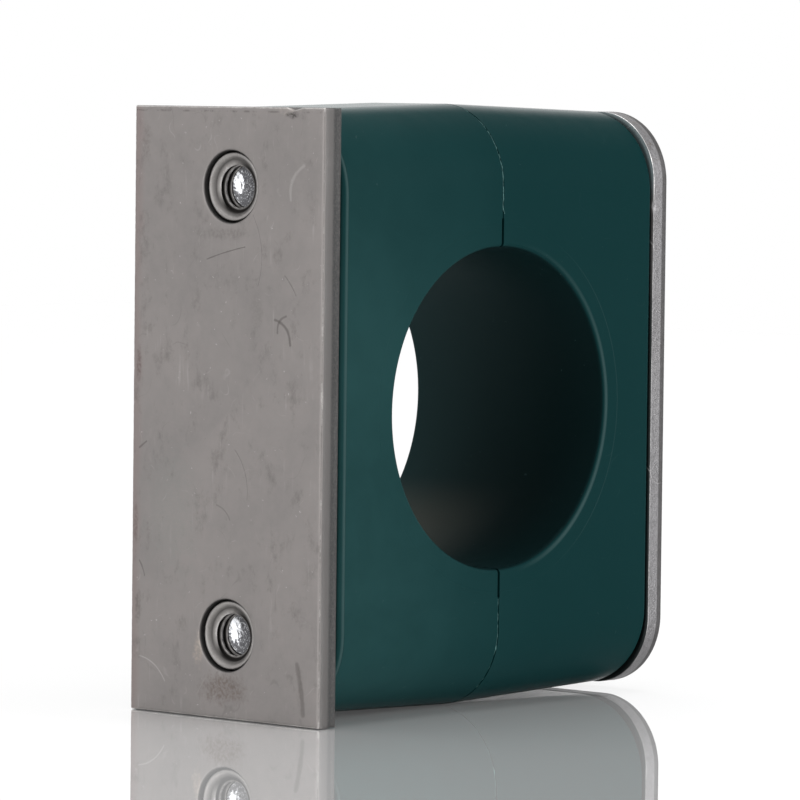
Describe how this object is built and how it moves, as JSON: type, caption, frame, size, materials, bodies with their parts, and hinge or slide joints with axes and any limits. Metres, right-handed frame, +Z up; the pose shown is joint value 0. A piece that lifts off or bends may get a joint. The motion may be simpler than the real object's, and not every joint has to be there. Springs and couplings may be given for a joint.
{
  "type": "tube clamp",
  "caption": "Two-bolt tube clamp with a weld plate, captive weld nuts, two moulded plastic halves round the bore and a rounded cover plate.",
  "frame": {"origin": "on the welding face of the weld plate, midway between the two bolts", "axes": "+X from the weld plate to the bolt heads, +Y along the tube, +Z up the clamp's length"},
  "size_m": [0.066, 0.0304, 0.0716],
  "materials": {
    "weld_plate_steel": "plain rolled steel, dull grey, lightly scratched",
    "nut_steel": "plain steel with a darkened thread",
    "base_half_plastic": "dark green moulded plastic, satin",
    "outer_half_plastic": "dark green moulded plastic, satin",
    "cover_plate_steel": "plain rolled steel with a sheared edge",
    "bolt_plating": "bright zinc plating"
  },
  "bodies": {
    "base": {"weld_plate": "weld_plate_steel", "weld_nut_upper": "nut_steel", "weld_nut_lower": "nut_steel", "base_half": "base_half_plastic"},
    "jaw": {"outer_half": "outer_half_plastic", "cover_plate": "cover_plate_steel"},
    "upper_bolt": {"bolt_upper": "bolt_plating"},
    "lower_bolt": {"bolt_lower": "bolt_plating"}
  },
  "joints": [
    {"name": "jaw_travel", "type": "slide", "parent": "base", "child": "jaw", "axis": [1, 0, 0], "range_m": [0, 0.005]},
    {"name": "upper_bolt_turn", "type": "hinge", "parent": "jaw", "child": "upper_bolt", "pos_m": [0.062, 0, 0.026], "axis": [1, 0, 0], "range_deg": [0, 1800]},
    {"name": "lower_bolt_turn", "type": "hinge", "parent": "jaw", "child": "lower_bolt", "pos_m": [0.062, 0, -0.026], "axis": [1, 0, 0], "range_deg": [0, 1800]}
  ],
  "couplings": [
    {"joint": "upper_bolt_turn", "follows": "jaw_travel", "rad_per_m": 6283.2},
    {"joint": "lower_bolt_turn", "follows": "jaw_travel", "rad_per_m": 6283.2}
  ]
}
